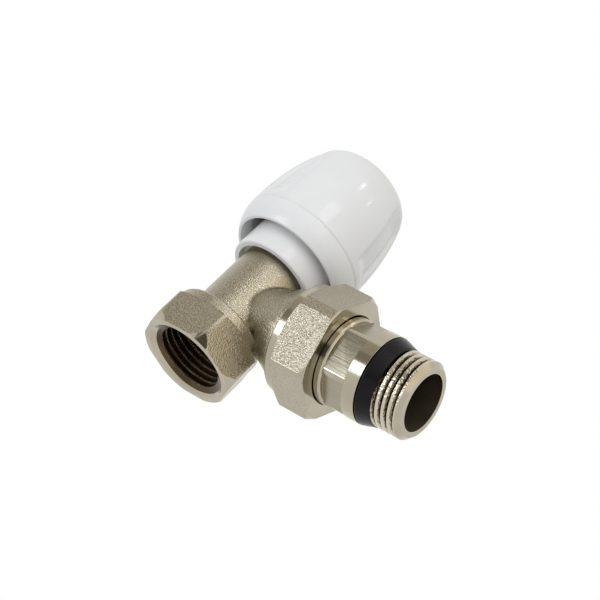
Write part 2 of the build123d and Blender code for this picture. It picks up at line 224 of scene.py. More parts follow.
def object_vector(tree, location=(0, 0, 0), rotation=(0, 0, 0)):
    coordinates = add_node(tree, "ShaderNodeTexCoord")
    mapping = add_node(tree, "ShaderNodeMapping", vector_type="POINT")
    mapping.inputs["Location"].default_value = location
    mapping.inputs["Rotation"].default_value = rotation
    tree.links.new(coordinates.outputs["Object"], mapping.inputs["Vector"])
    return mapping.outputs["Vector"]


def group_node(tree, group, vector):
    made = add_node(tree, "ShaderNodeGroup", node_tree=group)
    tree.links.new(vector, made.inputs["Vector"])
    return made


def bump_by(shader, height, strength, distance):
    tree = shader.id_data
    made = add_node(tree, "ShaderNodeBump")
    made.inputs["Strength"].default_value = strength
    made.inputs["Distance"].default_value = distance
    tree.links.new(height, made.inputs["Height"])
    tree.links.new(made.outputs["Normal"], shader.inputs["Normal"])


def roughness_by(shader, mask, low, high):
    tree = shader.id_data
    made = add_node(tree, "ShaderNodeMapRange")
    made.inputs["To Min"].default_value = low
    made.inputs["To Max"].default_value = high
    tree.links.new(mask, made.inputs["Value"])
    tree.links.new(made.outputs["Result"], shader.inputs["Roughness"])


def colour_by(shader, mask, dark, light):
    tree = shader.id_data
    made = add_node(tree, "ShaderNodeMix", data_type="RGBA")
    made.inputs["A"].default_value = (*dark, 1.0)
    made.inputs["B"].default_value = (*light, 1.0)
    tree.links.new(mask, made.inputs["Factor"])
    tree.links.new(made.outputs["Result"], shader.inputs["Base Color"])


print("the finish helpers are ready")

# %% [markdown]
# ## Blasted nickel
# Nickel on brass is a metal with a warm grey colour. On the blasted faces it is fairly rough, and the
# grain tilts the surface a little everywhere, so that the light breaks up into a sparkle. A bump does
# this: the grain is less than a tenth of a millimetre deep and far too fine to be modelled.

# %% Finish of the forged faces
def blasted_nickel():
    material, tree, shader = start_finish("blasted_nickel", (0.43, 0.39, 0.30), 1.0, 0.24)
    vector = object_vector(tree)
    grain = group_node(tree, grain_group, vector)
    marks = group_node(tree, marks_group, vector)
    # Painted glints: the base colour is lighter in the middle of every grain cell.
    colour_by(shader, grain.outputs["Painted Glint"], (0.38, 0.34, 0.255), (0.48, 0.44, 0.345))
    roughness_by(shader, marks.outputs["Mask"], 0.21, 0.28)
    bump_by(shader, grain.outputs["Height"], 1.0, 0.08 * mm)
    return material


blasted = blasted_nickel()
print("made the finish", blasted.name)

# %% [markdown]
# ## Turned nickel
# On turned faces the same nickel is smooth and shows the studio in long streaks. The rings run round
# the valve's axis on the socket and round the tailpiece's axis on the union, so the finish is made
# twice, and a Mapping node turns the pattern of the second.

# %% Finish of the turned faces
quarter_turn = math.radians(90)
along_outlet = {"location": (outlet_height, 0, 0), "rotation": (0, -quarter_turn, 0)}


def turned_nickel(name, placing):
    material, tree, shader = start_finish(name, (0.43, 0.39, 0.30), 1.0, 0.14)
    vector = object_vector(tree, **placing)
    rings = group_node(tree, rings_group, vector)
    marks = group_node(tree, marks_group, vector)
    colour_by(shader, marks.outputs["Mask"], (0.40, 0.36, 0.275), (0.46, 0.42, 0.33))
    roughness_by(shader, rings.outputs["Height"], 0.10, 0.20)
    bump_by(shader, rings.outputs["Height"], 0.12, 0.02 * mm)
    return material


turned_upright = turned_nickel("turned_nickel_upright", {})
turned_outlet = turned_nickel("turned_nickel_outlet", along_outlet)
print("made the finishes", turned_upright.name, "and", turned_outlet.name)

# %% [markdown]
# ## The finish of the male thread
# The crests of the male thread are dented. Its grooves are painted dark as painted shade, and its
# crests get a lighter colour as a painted highlight. The depth is read off as the distance from the
# axis: below a certain radius the colour goes dark. The dents are a coarse bump, which breaks the
# light on the crests into many bright points.

# %% Finish of the outlet thread
groove_dark_r = pipe_thread_r - 0.85 * mm
groove_unshaded_r = pipe_thread_r - 0.12 * mm


def thread_nickel():
    material, tree, shader = start_finish("thread_nickel", (0.43, 0.39, 0.30), 1.0, 0.1)
    vector = object_vector(tree, **along_outlet)
    radius = distance_from_axis(tree, vector)
    painted_groove_shade = ramp_node(tree, radius, groove_dark_r, groove_unshaded_r)
    dents = noise_node(tree, vector, 1250.0, 2.0)
    burnished = ramp_node(tree, dents.outputs["Fac"], 0.38, 0.60)
    # Painted shade and highlight: the grooves are painted dark and the crests a lighter colour.
    colour_by(shader, painted_groove_shade, (0.08, 0.056, 0.032), (0.56, 0.51, 0.41))
    roughness_by(shader, burnished, 0.14, 0.05)
    bump_by(shader, dents.outputs["Fac"], 1.0, 0.38 * mm)
    return material


thread_finish = thread_nickel()
print("made the finish", thread_finish.name)

# %% [markdown]
# ## Bores and the female thread
# The plating hardly reaches into the bores. The way through the tailpiece is a dull grey brown,
# darkened further as painted shade, and the tapped wall of the socket is golden brass. The flanks of
# its thread are painted dark as painted shade, and their crests are painted pale as painted
# highlights. All four are clouds between two colours, so one function makes them.

# %% Finishes inside the valve's two ends
def dull_metal(name, plain, dark, light, metallic=0.85, rough=(0.24, 0.38), scale=90.0):
    material, tree, shader = start_finish(name, plain, metallic, sum(rough) / 2)
    marks = group_node(tree, marks_group, object_vector(tree))
    marks.inputs["Scale"].default_value = scale
    colour_by(shader, marks.outputs["Mask"], dark, light)
    roughness_by(shader, marks.outputs["Mask"], *rough)
    return material


# Dull unplated metal, painted darker as painted shade for the shade inside the bore.
bore_finish_and_shade = dull_metal(
    "dull_bore_painted_shade", (0.13, 0.103, 0.063), (0.13, 0.103, 0.063), (0.22, 0.183, 0.127),
)
tapped_finish = dull_metal(
    "tapped_bore", (0.38, 0.245, 0.10), (0.38, 0.245, 0.10), (0.60, 0.42, 0.20),
)
# Painted shade: the flanks of the inlet thread are painted nearly black.
flank_shade_finish = dull_metal(
    "flank_painted_shade", (0.07, 0.045, 0.02), (0.05, 0.032, 0.013), (0.10, 0.066, 0.028),
    rough=(0.16, 0.28),
)
# Painted highlight: the crests of the inlet thread are painted pale.
crest_highlight_finish = dull_metal(
    "crest_painted_highlight", (0.42, 0.37, 0.29), (0.26, 0.22, 0.16), (0.62, 0.57, 0.47),
    metallic=0.6, rough=(0.28, 0.40), scale=260.0,
)
print("made four finishes for the two ends")

# %% [markdown]
# ## Milled flats
# The flats of the tailpiece, where a key holds it, were milled along its axis. Noise that is
# stretched along X gives the long fine lines that the cutter leaves.

# %% Finish of the tailpiece's flats
along_the_cut = (0.03, 1.0, 1.0)


def milled_nickel():
    material, tree, shader = start_finish("milled_nickel", (0.34, 0.305, 0.23), 1.0, 0.2)
    stretch = add_node(tree, "ShaderNodeMapping", vector_type="POINT")
    stretch.inputs["Scale"].default_value = along_the_cut
    tree.links.new(object_vector(tree), stretch.inputs["Vector"])
    lines = noise_node(tree, stretch.outputs["Vector"], 2600.0, 2.0)
    colour_by(shader, lines.outputs["Fac"], (0.28, 0.25, 0.18), (0.40, 0.365, 0.28))
    roughness_by(shader, lines.outputs["Fac"], 0.14, 0.26)
    bump_by(shader, lines.outputs["Fac"], 0.5, 0.03 * mm)
    return material


milled_finish = milled_nickel()
print("made the finish", milled_finish.name)

# %% [markdown]
# ## Brass and steel inside
# The headwork, the spindle and the plug are turned from bare brass, and the screws and the clip are
# bright steel. They are hidden in the closed valve, but the part is reused in pieces, so they get
# finishes of their own: brass with the same turning rings, steel with the same clouds.

# %% Finishes of the hidden metal pieces
def turned_brass():
    material, tree, shader = start_finish("turned_brass", (0.78, 0.58, 0.27), 1.0, 0.2)
    vector = object_vector(tree)
    rings = group_node(tree, rings_group, vector)
    marks = group_node(tree, marks_group, vector)
    colour_by(shader, marks.outputs["Mask"], (0.70, 0.50, 0.22), (0.80, 0.61, 0.30))
    roughness_by(shader, rings.outputs["Height"], 0.14, 0.28)
    bump_by(shader, rings.outputs["Height"], 0.12, 0.02 * mm)
    return material


brass = turned_brass()
steel = dull_metal(
    "bright_steel", (0.58, 0.58, 0.58), (0.52, 0.52, 0.53), (0.62, 0.62, 0.61),
    metallic=1.0, rough=(0.18, 0.30),
)
print("made the finishes", brass.name, "and", steel.name)

# %% [markdown]
# ## White plastic
# The knob and the collar are moulded from a glossy white plastic. Moulded gloss is never quite flat,
# so a very weak, broad bump bends the lamps' reflections a little. The white stays well below full
# white, or the form would burn out in the light.

# %% Finish of the knob
def white_plastic():
    material, tree, shader = start_finish("white_plastic", (0.80, 0.80, 0.79), 0.0, 0.12)
    shader.inputs["Specular IOR Level"].default_value = 0.24
    vector = object_vector(tree)
    marks = group_node(tree, marks_group, vector)
    peel = noise_node(tree, vector, 420.0, 2.0)
    colour_by(shader, marks.outputs["Mask"], (0.79, 0.79, 0.78), (0.81, 0.81, 0.80))
    roughness_by(shader, marks.outputs["Mask"], 0.09, 0.15)
    bump_by(shader, peel.outputs["Fac"], 0.012, 0.05 * mm)
    return material


plastic = white_plastic()
print("made the finish", plastic.name)

# %% [markdown]
# ## Rubber and packing
# The seal behind the thread is a satin black rubber with a fine skin, and so are the rings inside.
# The packing round the spindle is a pale fibre. Both are plain surfaces with a fine noise for bump.

# %% Finishes of the seals
def black_rubber():
    material, tree, shader = start_finish("black_rubber", (0.006, 0.006, 0.007), 0.0, 0.33)
    shader.inputs["Specular IOR Level"].default_value = 0.15
    vector = object_vector(tree)
    marks = group_node(tree, marks_group, vector)
    skin = noise_node(tree, vector, 1800.0, 3.0)
    colour_by(shader, marks.outputs["Mask"], (0.004, 0.004, 0.005), (0.008, 0.008, 0.009))
    roughness_by(shader, marks.outputs["Mask"], 0.22, 0.30)
    bump_by(shader, skin.outputs["Fac"], 0.10, 0.04 * mm)
    return material


def pale_packing():
    material, tree, shader = start_finish("pale_packing", (0.80, 0.79, 0.75), 0.0, 0.6)
    fibres = noise_node(tree, object_vector(tree), 1500.0, 4.0)
    colour_by(shader, fibres.outputs["Fac"], (0.74, 0.73, 0.68), (0.84, 0.83, 0.80))
    bump_by(shader, fibres.outputs["Fac"], 0.2, 0.05 * mm)
    return material


rubber = black_rubber()
packing = pale_packing()
print("made the finishes", rubber.name, "and", packing.name)

# %% [markdown]
# ## Dressing the CAD nodes
# Pieces whose CAD shape is already right keep it: the collar, the knob's skirt, the seal and
# everything inside. Each only needs the finish of its slot. The CAD mesh carries its own normals, so
# round faces are already smooth. The body, the nut, the tailpiece and the knob's cap are dressed
# here too, but get copies of their own further down.

# %% Give every CAD node the finish of its slot
finish_of_slot = {
    "plated_brass": turned_upright, "brass": brass, "white_plastic": plastic, "rubber": rubber,
    "packing": packing, "steel": steel,
}
for part in frame["record"]["subparts"]:
    node = nodes[part["node"]]
    node.data.materials.clear()
    node.data.materials.append(finish_of_slot[part["material_slot"]])
print("dressed", len(nodes), "nodes with", len(finish_of_slot), "finishes")

# %% [markdown]
# ## Soft edges
# No real edge is perfectly sharp, and the thin bright line along an edge is what makes metal look
# solid. The plated pieces are copied from their CAD nodes, the loose triangles are joined, flat faces
# are made whole again, and the sharp edges get a small bevel. Each copy then stands for its node. A
# Weighted Normal modifier keeps the flats flat between their soft edges.

# %% Helpers that copy a node and soften its edges
touching = 0.001 * mm
nearly_flat = math.radians(0.6)


def merged_copy(node):
    mesh = bmesh.new()
    mesh.from_mesh(nodes[node].data)
    bmesh.ops.remove_doubles(mesh, verts=mesh.verts, dist=touching)
    bmesh.ops.dissolve_limit(mesh, angle_limit=nearly_flat, verts=mesh.verts, edges=mesh.edges)
    return mesh


def soften(mesh, width, sharper_than=35.0, keep=lambda edge: True, segments=2):
    limit = math.radians(sharper_than)
    joined = [edge for edge in mesh.edges if len(edge.link_faces) == 2 and keep(edge)]
    sharp = [edge for edge in joined if edge.calc_face_angle() > limit]
    bmesh.ops.bevel(
        mesh, geom=sharp, offset=width, offset_type="OFFSET", affect="EDGES", segments=segments,
        profile=0.5, material=-1, clamp_overlap=True,
    )
    return len(sharp)


def make_piece(name, mesh, body, materials, smooth_under=35.0):
    data = bpy.data.meshes.new(name)
    for face in mesh.faces:
        face.smooth = True
    mesh.to_mesh(data)
    mesh.free()
    for material in materials:
        data.materials.append(material)
    data.set_sharp_from_angle(angle=math.radians(smooth_under))
    piece = bpy.data.objects.new(name, data)
    bpy.context.scene.collection.objects.link(piece)
    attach(piece, body)
    print(name, "has", len(data.polygons), "faces")
    return piece


def keep_flats_flat(piece):
    modifier = piece.modifiers.new("flat shading on flats", "WEIGHTED_NORMAL")
    modifier.keep_sharp = True


print("the mesh helpers are ready")

# %% [markdown]
# ## The forged body
# The socket's hexagon was faced on a lathe, which took its corners off in a shallow cone round the
# mouth. A cone could be cut with a boolean, but that often leaves a ragged mesh. Here it is cut by
# many planes that all touch the cone, one after the other, and each cut is closed at once.

# %% Cone at the socket's mouth
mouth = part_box("valve_body")[0].z
cone_r = 13.4 * mm
cone_slope = 0.57
cone_cuts = 96
cone_reach = 4 * mm
inside_cone_r = 10 * mm


def around_mouth(mesh, outward):
    near = [
        vertex for vertex in mesh.verts
        if vertex.co.z < mouth + cone_reach and vertex.co.dot(outward) > inside_cone_r
    ]
    faces = dict.fromkeys(face for vertex in near for face in vertex.link_faces)
    edges = dict.fromkeys(edge for face in faces for edge in face.edges)
    points = dict.fromkeys(vertex for face in faces for vertex in face.verts)
    return [*points, *edges, *faces]


def cut_cone(mesh):
    for index in range(cone_cuts):
        angle = math.tau * index / cone_cuts
        outward = Vector((math.cos(angle), math.sin(angle), 0))
        bmesh.ops.bisect_plane(
            mesh, geom=around_mouth(mesh, outward), dist=touching,
            plane_co=outward * cone_r + Vector((0, 0, mouth)),
            plane_no=(outward - Vector((0, 0, cone_slope))).normalized(), clear_outer=True,
        )
        cut_edges = [edge for edge in mesh.edges if edge.is_boundary]
        bmesh.ops.holes_fill(mesh, edges=cut_edges, sides=0)
    bmesh.ops.dissolve_limit(mesh, angle_limit=nearly_flat, verts=mesh.verts, edges=mesh.edges)


body_mesh = merged_copy("valve_body")
cut_cone(body_mesh)
print("open edges after the cone:", sum(edge.is_boundary for edge in body_mesh.edges))

# %% [markdown]
# ## Rounds and finishes of the body
# A forging has no sharp inner corner: where the branch leaves the neck and the flange, the crease is
# rounded. All other edges are only softened. Most of the body is blasted, but the lathe has cut the
# bore, the end face and the cone. Those faces are told apart by where they are and which way they look.

# %% Body
crease_round = 1.0 * mm
crease_sharper_than = 12.0
crease_segments = 4
crease_above = 12 * mm
crease_outside_r = 7.5 * mm
forging_round = 0.18 * mm
corner_cone_top = mouth + 2.6 * mm
mouth_cone_r = pipe_thread_r + 1.4 * mm
tapped_top = 11.5 * mm
looking_down = -0.3
slack = 0.1 * mm
forged_face, turned_face, tapped_face = range(3)


def is_crease(edge):
    centre = (edge.verts[0].co + edge.verts[1].co) / 2
    hollow = edge.calc_face_angle_signed() < 0
    return hollow and centre.z > crease_above and math.hypot(centre.x, centre.y) > crease_outside_r


def finish_on_body(face):
    centre = face.calc_center_median()
    radius = math.hypot(centre.x, centre.y)
    if radius < pipe_thread_r + slack and slack < centre.z < tapped_top:
        return tapped_face
    on_mouth_cone = radius < mouth_cone_r and centre.z < slack
    on_corner_cone = centre.z < corner_cone_top and face.normal.z < looking_down
    return turned_face if on_mouth_cone or on_corner_cone else forged_face


rounded = soften(body_mesh, crease_round, crease_sharper_than, is_crease, crease_segments)
softened = soften(body_mesh, forging_round)
for face in body_mesh.faces:
    face.material_index = finish_on_body(face)
body_piece = make_piece(
    "forged_body", body_mesh, "body", [blasted, turned_upright, tapped_finish],
)
keep_flats_flat(body_piece)
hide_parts("valve_body")
print("rounded", rounded, "edges of the crease and softened", softened, "edges of the body")

# %% [markdown]
# ## The inlet thread
# The CAD bore is as wide as the bottom of the thread. What is missing is the ridge that winds down
# it. A small section is spun round the axis and moved up by a little at each step, which is just how
# a thread is cut. The ridge starts in the mouth, where it runs into the wall: points below the first
# crest are pushed outwards, the more the lower they are.

# %% Ridge of the inlet thread
pitch = 25.4 / 14 * mm
ridge_height = 1.16 * mm
steps_per_turn = 96
first_crest = -0.3 * mm
run_in = 3.0
early_start = 0.62 * pitch
ridge_turns = 5.5
crest_share = 0.9


def wind(mesh, geometry, centre, axis, turns):
    rise = axis * (pitch / steps_per_turn)
    return bmesh.ops.spin(
        mesh, geom=geometry, cent=centre, axis=axis, dvec=rise, angle=turns * math.tau,
        steps=round(turns * steps_per_turn), use_merge=False,
    )


def inlet_ridge():
    mesh = bmesh.new()
    foot = pipe_thread_r + 0.05 * mm
    tip = pipe_thread_r - ridge_height
    section = [(foot, 0.06), (tip, 0.44), (tip, 0.56), (foot, 0.94)]
    corners = [mesh.verts.new((r, 0, share * pitch - early_start)) for r, share in section]
    face = mesh.faces.new(corners)
    wind(mesh, [face], Vector((0, 0, 0)), Vector((0, 0, 1)), ridge_turns)
    for vertex in mesh.verts:
        mouth_r = foot - (vertex.co.z - first_crest) * run_in
        radius = math.hypot(vertex.co.x, vertex.co.y)
        if radius < mouth_r:
            vertex.co.x *= mouth_r / radius
            vertex.co.y *= mouth_r / radius
    bmesh.ops.recalc_face_normals(mesh, faces=mesh.faces)
    return mesh


def is_crest(face):
    widest = max(math.hypot(vertex.co.x, vertex.co.y) for vertex in face.verts)
    return widest < pipe_thread_r - crest_share * ridge_height


ridge_mesh = inlet_ridge()
for face in ridge_mesh.faces:
    face.material_index = 1 if is_crest(face) else 0
ridge_piece = make_piece(
    "inlet_thread_ridge", ridge_mesh, "body", [flank_shade_finish, crest_highlight_finish], 30.0,
)

# %% [markdown]
# ## The union nut
# The nut is a hexagon whose six flats are blasted, and so are the two narrow strips where its corners
# were trimmed. Its collar, its back taper and the ring round its front were turned, so they shine. A
# flat is told apart by its size, its distance from the axis and by not looking along it.

# %% Nut
outlet_axis = Vector((0, 0, outlet_height))
nut_low, nut_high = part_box("union_nut")
nut_flat = (nut_high.z - nut_low.z) / 2
nut_round = 0.2 * mm
nut_sharper_than = 20.0
flat_slack = 0.05 * mm
smallest_flat = 2 * mm * mm


def is_nut_flat(face):
    reach = (face.calc_center_median() - outlet_axis).dot(face.normal)
    looks_out = abs(face.normal.x) < 0.02
    return looks_out and reach > nut_flat - flat_slack and face.calc_area() > smallest_flat


nut_mesh = merged_copy("union_nut")
softened = soften(nut_mesh, nut_round, nut_sharper_than)
for face in nut_mesh.faces:
    face.material_index = 0 if is_nut_flat(face) else 1
nut_piece = make_piece(
    "union_hexagon", nut_mesh, "nut", [blasted, turned_outlet],
)
keep_flats_flat(nut_piece)
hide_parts("union_nut")
print("softened", softened, "edges of the nut")

# %% [markdown]
# ## The tailpiece
# The CAD tailpiece ends in a plain cylinder as wide as the thread. On the copy that cylinder and the
# end face are taken off, to make room for a sleeve with a real thread. What stays is turned, apart
# from the dull bore and the milled flats for the key.

# %% Tailpiece
tail_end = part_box("tailpiece")[1].x
seal_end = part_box("tailpiece_seal")[1].x
tail_bore_r = 7.7475 * mm
tail_round = 0.15 * mm
smallest_key_flat = 15 * mm * mm
tail_turned, tail_bore, tail_milled = range(3)


def from_outlet_axis(point):
    return math.hypot(point.y, point.z - outlet_height)


def widest_on_tail(face):
    return max(from_outlet_axis(vertex.co) for vertex in face.verts)


def is_thread_wall(face):
    reach = max(vertex.co.x for vertex in face.verts)
    return reach > seal_end + flat_slack and widest_on_tail(face) > tail_bore_r + slack


def finish_on_tail(face):
    if widest_on_tail(face) < tail_bore_r + slack:
        return tail_bore
    is_key_flat = abs(face.normal.x) < 0.01 and face.calc_area() > smallest_key_flat
    return tail_milled if is_key_flat else tail_turned


tail_mesh = merged_copy("tailpiece")
thread_wall = [face for face in tail_mesh.faces if is_thread_wall(face)]
bmesh.ops.delete(tail_mesh, geom=thread_wall, context="FACES")
softened = soften(tail_mesh, tail_round)
for face in tail_mesh.faces:
    face.material_index = finish_on_tail(face)
tail_piece = make_piece(
    "tail_turning", tail_mesh, "tail", [turned_outlet, bore_finish_and_shade, milled_finish],
)
keep_flats_flat(tail_piece)
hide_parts("tailpiece")
print("took", len(thread_wall), "faces off the tailpiece and softened", softened, "edges")

# %% [markdown]
# ## The outlet thread
# One row of teeth is spun through one turn while it moves on by one pitch, so that its end meets its
# own beginning. Both ends of this sleeve are then cut square, and the corner at its free end is taken
# off in a cone, as on every pipe thread. The last groove runs out before that cone. The rim is drawn
# inwards to the bore for the end face.

# %% Sleeve with the outlet thread
thread_chamfer = 1.2 * mm
groove_depth = 1.0 * mm
groove_run_out = 1.2 * mm
under_seal = 0.3 * mm
cone_start = tail_end - thread_chamfer


def thread_sleeve():
    mesh = bmesh.new()
    start = seal_end - under_seal
    root_r = pipe_thread_r - groove_depth
    tooth = [(0.0, root_r), (0.07, root_r), (0.33, pipe_thread_r), (0.74, pipe_thread_r)]
    row = []
    for turn in range(math.ceil((tail_end - start) / pitch) + 2):
        for share, radius in tooth:
            along = start + (turn - 1 + share) * pitch
            row.append(mesh.verts.new((along, 0, outlet_height + radius)))
    chain = [mesh.edges.new(pair) for pair in zip(row, row[1:])]
    wind(mesh, row + chain, outlet_axis, Vector((1, 0, 0)), 1)
    bmesh.ops.remove_doubles(mesh, verts=mesh.verts, dist=0.01 * mm)
    for place, side in ((start, -1), (cone_start, 0), (tail_end, 1)):
        everything = mesh.verts[:] + mesh.edges[:] + mesh.faces[:]
        bmesh.ops.bisect_plane(
            mesh, geom=everything, dist=touching, plane_co=(place, 0, 0), plane_no=(1, 0, 0),
            clear_outer=side > 0, clear_inner=side < 0,
        )
    return mesh


def set_radius(vertex, wanted):
    arm = vertex.co - outlet_axis
    arm.x = 0
    vertex.co -= arm * (1 - wanted / arm.length)


def take_off_corner(mesh):
    for vertex in mesh.verts:
        past = vertex.co.x - cone_start
        fade = min(max(-past / groove_run_out, 0.0), 1.0)
        shallow_r = pipe_thread_r - groove_depth * fade
        radius = from_outlet_axis(vertex.co)
        set_radius(vertex, max(radius, shallow_r) - max(past, 0.0))


def close_end(mesh):
    last = tail_end - 0.01 * mm
    open_edges = [edge for edge in mesh.edges if edge.is_boundary]
    rim = [edge for edge in open_edges if min(vertex.co.x for vertex in edge.verts) > last]
    made = bmesh.ops.extrude_edge_only(mesh, edges=rim)["geom"]
    for vertex in [item for item in made if isinstance(item, bmesh.types.BMVert)]:
        set_radius(vertex, tail_bore_r)
    bmesh.ops.remove_doubles(mesh, verts=mesh.verts, dist=0.005 * mm)
    bmesh.ops.recalc_face_normals(mesh, faces=mesh.faces)


def is_sleeve_end(face):
    return face.normal.x > 0.5 and face.calc_center_median().x > cone_start


sleeve_mesh = thread_sleeve()
take_off_corner(sleeve_mesh)
close_end(sleeve_mesh)
for face in sleeve_mesh.faces:
    face.material_index = 1 if is_sleeve_end(face) else 0
sleeve_piece = make_piece(
    "outlet_thread", sleeve_mesh, "tail", [thread_finish, turned_outlet], 30.0,
)

# %% [markdown]
# ## The outline of the knob's cap
# From the side, the cap is two arcs: a long, slightly bellied flank and a round crown that carries on
# from it without a kink. Three points fix the flank's circle. The crown's centre lies on the flank's
# last radius, as far in as it must be for the arc to end at the flat top.

# %% Outline of the cap
cap_low, cap_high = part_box("knob_cap")
seam_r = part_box("knob_skirt")[1].x
belly_in, belly_up = 0.5 * mm, 12.0 * mm
shoulder_in, shoulder_up = 3.3 * mm, 24.2 * mm
crown_in = 9.5 * mm
flank_steps, crown_steps = 72, 40


def arc(centre, start, end, count):
    first, last = start - centre, end - centre
    begin, finish = math.atan2(first.y, first.x), math.atan2(last.y, last.x)
    angles = [begin + (finish - begin) * step / count for step in range(count + 1)]
    return [centre + first.length * Vector((math.cos(a), math.sin(a))) for a in angles]


def circle_centre(start, through, end):
    one, two = through - start, end - start
    double_area = 2 * one.cross(two)
    across = one.length_squared * two - two.length_squared * one
    return start + Vector((across.y, -across.x)) / double_area


def cap_outline():
    seam = Vector((seam_r, cap_low.z))
    belly = seam + Vector((-belly_in, belly_up))
    shoulder = seam + Vector((-shoulder_in, shoulder_up))
    crown = Vector((seam_r - crown_in, cap_high.z))
    flank_centre = circle_centre(seam, belly, shoulder)
    inward = (flank_centre - shoulder).normalized()
    rest = crown - shoulder
    crown_centre = shoulder + inward * (rest.length_squared / (2 * inward.dot(rest)))
    flank = arc(flank_centre, seam, shoulder, flank_steps)
    return flank + arc(crown_centre, shoulder, crown, crown_steps)[1:]


outline = cap_outline()
print("the cap's outline has", len(outline), "points, up to", outline[-1] / mm)

# %% [markdown]
# ## The finger hollows
# The cap is moulded with three long hollows for the fingers. Each has a flat floor and steep sides,
# and it runs out just above the seam and again below the crown. The depth at a point is a product of
# soft steps: one across the hollow and two along it.

# %% Depth of the hollows
hollow_angles = [math.radians(2 + 120 * turn) for turn in range(3)]
hollow_half_width = 5.5 * mm
hollow_depth = 1.3 * mm
hollow_side = 1.8 * mm
low_run_out = (1.5 * mm, 6 * mm)
high_run_out = (19 * mm, 26 * mm)


def ease(start, end, value):
    share = min(max((value - start) / (end - start), 0.0), 1.0)
    return share * share * (3 - 2 * share)


def angle_between(one, two):
    return abs((one - two + math.pi) % math.tau - math.pi)


def hollow_at(point):
    height = point.z - cap_low.z
    angle = math.atan2(point.y, point.x)
    nearest = min(angle_between(angle, middle_angle) for middle_angle in hollow_angles)
    aside = nearest * math.hypot(point.x, point.y)
    inside = 1 - ease(hollow_half_width - hollow_side, hollow_half_width, aside)
    run_out = ease(*low_run_out, height) * (1 - ease(*high_run_out, height))
    return hollow_depth * inside * run_out


print("three hollows,", hollow_depth / mm, "mm deep")

# %% [markdown]
# ## The cap of the knob
# The outside of the CAD cap is taken off a copy, and its hub, ribs and top stay. The outline is spun
# round the axis as a fine skin, and the skin is pushed in where the hollows are. A fine skin is
# needed, because the hollows' sides are steep and a glossy white shows every facet.

# %% Cap
skin_steps = 336
skin_reach = 1.25 * mm
seam_cut = 0.25 * mm
looking_up_or_down = 0.985


def is_cap_outside(face):
    centre = face.calc_center_median()
    place = Vector((math.hypot(centre.x, centre.y), centre.z))
    near = min((place - point).length for point in outline) < skin_reach
    return near and abs(face.normal.z) < looking_up_or_down


def cap_skin(mesh):
    kept = set(mesh.faces)
    first = outline[0]
    lowest = first.y + seam_cut
    row = [mesh.verts.new((first.x - seam_cut, 0, first.y))]
    row += [mesh.verts.new((point.x, 0, max(point.y, lowest))) for point in outline[1:]]
    chain = [mesh.edges.new(pair) for pair in zip(row, row[1:])]
    bmesh.ops.spin(
        mesh, geom=row + chain, cent=(0, 0, 0), axis=(0, 0, 1), dvec=(0, 0, 0), angle=math.tau,
        steps=skin_steps, use_merge=True,
    )
    skin = [face for face in mesh.faces if face not in kept]
    for vertex in dict.fromkeys(vertex for face in skin for vertex in face.verts):
        share = 1 - hollow_at(vertex.co) / math.hypot(vertex.co.x, vertex.co.y)
        vertex.co.x *= share
        vertex.co.y *= share
    bmesh.ops.recalc_face_normals(mesh, faces=skin)
    return skin


cap_mesh = merged_copy("knob_cap")
outside = [face for face in cap_mesh.faces if is_cap_outside(face)]
bmesh.ops.delete(cap_mesh, geom=outside, context="FACES")
skin = cap_skin(cap_mesh)
print("took", len(outside), "faces off the cap and spun", len(skin))
cap_piece = make_piece("fluted_cap", cap_mesh, "knob", [plastic])
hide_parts("knob_cap")

# %% [markdown]
# ## The studio's white
# The valve is photographed in a white studio. The world shows white to the camera and to shiny
# surfaces, so that the metal mirrors it, and lights everything else more gently. Light Path tells
# the rays apart. More light on the valve would make the background white too, but the knob would
# burn out.

# %% World
ambient = 0.56
world = bpy.data.worlds.new("studio")
bpy.context.scene.world = world
world.use_nodes = True
sky = world.node_tree
background = sky.nodes["Background"]
background.inputs["Color"].default_value = (1.0, 1.0, 1.0, 1.0)
rays = add_node(sky, "ShaderNodeLightPath")
seen = add_node(sky, "ShaderNodeMath", operation="MAXIMUM")
seen_through = add_node(sky, "ShaderNodeMath", operation="MAXIMUM")
strength = add_node(sky, "ShaderNodeMapRange")
strength.inputs["To Min"].default_value = ambient
strength.inputs["To Max"].default_value = 1.0
sky.links.new(rays.outputs["Is Camera Ray"], seen.inputs[0])
sky.links.new(rays.outputs["Is Glossy Ray"], seen.inputs[1])
sky.links.new(seen.outputs["Value"], seen_through.inputs[0])
sky.links.new(rays.outputs["Is Transmission Ray"], seen_through.inputs[1])
sky.links.new(seen_through.outputs["Value"], strength.inputs["Value"])
sky.links.new(strength.outputs["Result"], background.inputs["Strength"])
print("the world lights the valve at", ambient)

# %% [markdown]
# ## The camera
# In the photograph the valve lies on its side, so in the valve's own frame the camera looks up at it
# from below. Its place, its turn and its lens were worked out from the two pipe axes and the round
# edges, and are given here as three directions, a place and a focal length.

# %% Camera at the photograph's viewing angle
view_right = Vector((0.7709, 0.1150, 0.6265)).normalized()
view_forward = Vector((-0.4963, 0.7250, 0.4776)).normalized()
view_up = view_right.cross(view_forward).normalized()
camera_data = bpy.data.cameras.new("camera")
camera_data.lens = 111.8
camera_data.sensor_width = 36.0
camera_data.clip_start = 0.01
camera = bpy.data.objects.new("camera", camera_data)
camera.matrix_world = Matrix((view_right, view_up, -view_forward)).transposed().to_4x4()
camera.location = (0.24747, -0.34530, -0.19636)
bpy.context.scene.collection.objects.link(camera)
bpy.context.scene.camera = camera
print("the camera stands", round(camera.location.length, 3), "m from the inlet")

# %% [markdown]
# ## Lamps
# A large, slightly blue key lamp gives the bright flat of the nut. Two small lamps make the two bright
# points on the knob. A broad fill in front lifts the white plastic. It is hidden from shiny surfaces,
# because the photograph shows no such square in the metal.

# %% Lamps
middle = (cad_low + cad_high) / 2
lamp_distance = 0.6


